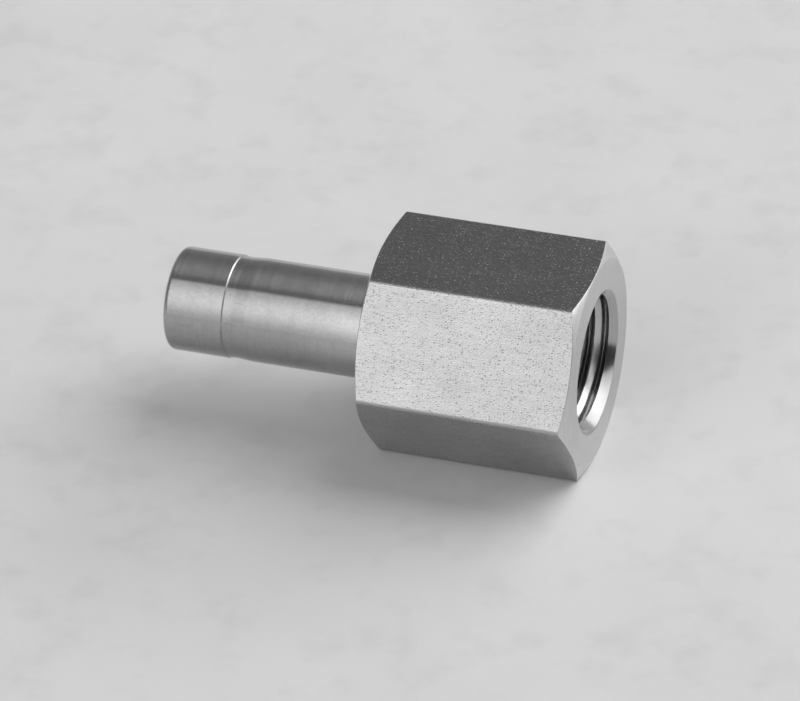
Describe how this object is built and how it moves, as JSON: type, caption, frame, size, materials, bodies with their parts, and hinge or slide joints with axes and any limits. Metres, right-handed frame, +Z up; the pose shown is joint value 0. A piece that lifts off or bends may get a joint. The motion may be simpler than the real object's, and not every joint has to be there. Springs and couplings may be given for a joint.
{
  "type": "female weld adapter",
  "caption": "One-piece turned adapter: a hexagon head with a taper-threaded female port and a plain round tube stub with a shallow ferrule groove.",
  "frame": {"origin": "on the axis of the fitting, at the centre of the port's end face", "axes": "+X along the axis, out of the threaded port; the stub points along -X; +Z up, square to the hexagon's top flat, with a flat under it"},
  "size_m": [0.0397, 0.0218, 0.019],
  "materials": {
    "stainless": "turned stub and ends, grainy drawn flats, bright tapped port"
  },
  "bodies": {
    "root": {"adapter_body": "stainless"}
  },
  "joints": []
}
